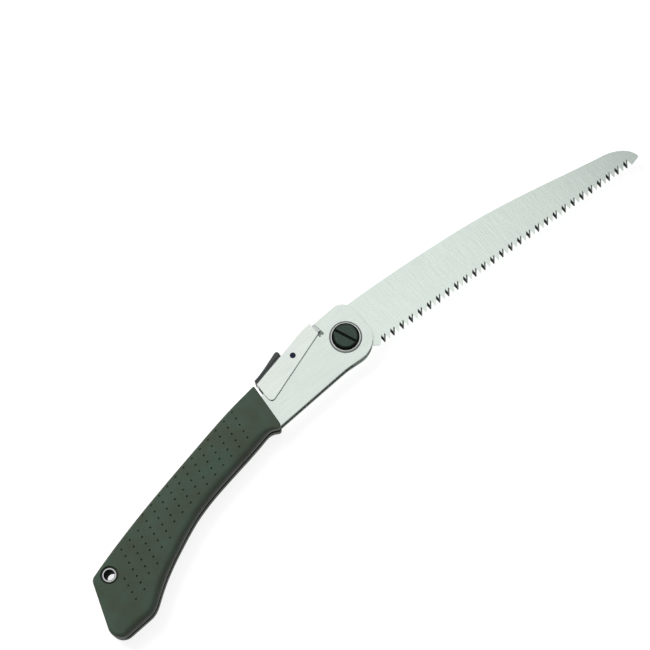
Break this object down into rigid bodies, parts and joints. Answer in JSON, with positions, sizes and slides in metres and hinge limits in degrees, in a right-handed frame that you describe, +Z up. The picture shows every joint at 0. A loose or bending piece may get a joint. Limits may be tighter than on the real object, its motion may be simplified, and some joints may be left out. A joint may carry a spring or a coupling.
{
  "type": "folding pruning saw",
  "caption": "Folding pruning saw: a curved pull-stroke blade folds into a slotted rubber grip and is held open by a sprung lock lever at the frame.",
  "frame": {"origin": "bottom centre of the open saw lying on its side, on the surface it rests on", "axes": "+X along the saw from the butt of the grip to the blade tip, +Y towards the spine side, +Z up, along the pivot axis"},
  "size_m": [0.5012, 0.082, 0.0184],
  "materials": {
    "frame_steel": "pale satin",
    "spacer_nylon": "moulded",
    "rivet_steel": "turned",
    "grip_rubber": "moulded, dimpled",
    "eyelet_chrome": "bright plated",
    "blade_steel": "ground satin",
    "bearing_brass": "turned",
    "bolt_black": "black oxide",
    "washer_chrome": "bright",
    "nut_steel": "plated",
    "lever_steel": "pale satin",
    "lock_bar_steel": "hardened, ground",
    "pad_rubber": "moulded",
    "pin_blued": "blued",
    "spring_steel": "drawn wire"
  },
  "bodies": {
    "handle": {"near_side_plate": "frame_steel", "far_side_plate": "frame_steel", "spine_spacer": "spacer_nylon", "frame_rivets": "rivet_steel", "near_grip_half": "grip_rubber", "far_grip_half": "grip_rubber", "lanyard_eyelet": "eyelet_chrome", "eyelet_washer": "eyelet_chrome", "pivot_sleeve": "bearing_brass", "near_thrust_washer": "bearing_brass", "far_thrust_washer": "bearing_brass", "pivot_bolt": "bolt_black", "bolt_washer": "washer_chrome", "nut_washer": "washer_chrome", "pivot_nut": "nut_steel", "lever_pin": "pin_blued", "spring_stop_pin": "pin_blued", "lever_spring": "spring_steel"},
    "blade": {"blade": "blade_steel"},
    "lock_lever": {"lever_body": "lever_steel", "lock_bar": "lock_bar_steel", "thumb_pad": "pad_rubber"}
  },
  "joints": [
    {"name": "blade_fold", "type": "hinge", "parent": "handle", "child": "blade", "pos_m": [0.00335, 0.0164, 0.0092], "axis": [0, 0, -1], "range_deg": [0, 161.5]},
    {"name": "lock_lever", "type": "hinge", "parent": "handle", "child": "lock_lever", "pos_m": [-0.03305, 0.0309, 0.0092], "axis": [0, 0, 1], "range_deg": [-6, 8], "stiffness_Nm_per_rad": 0.3, "deforming": ["lever_spring"]}
  ]
}
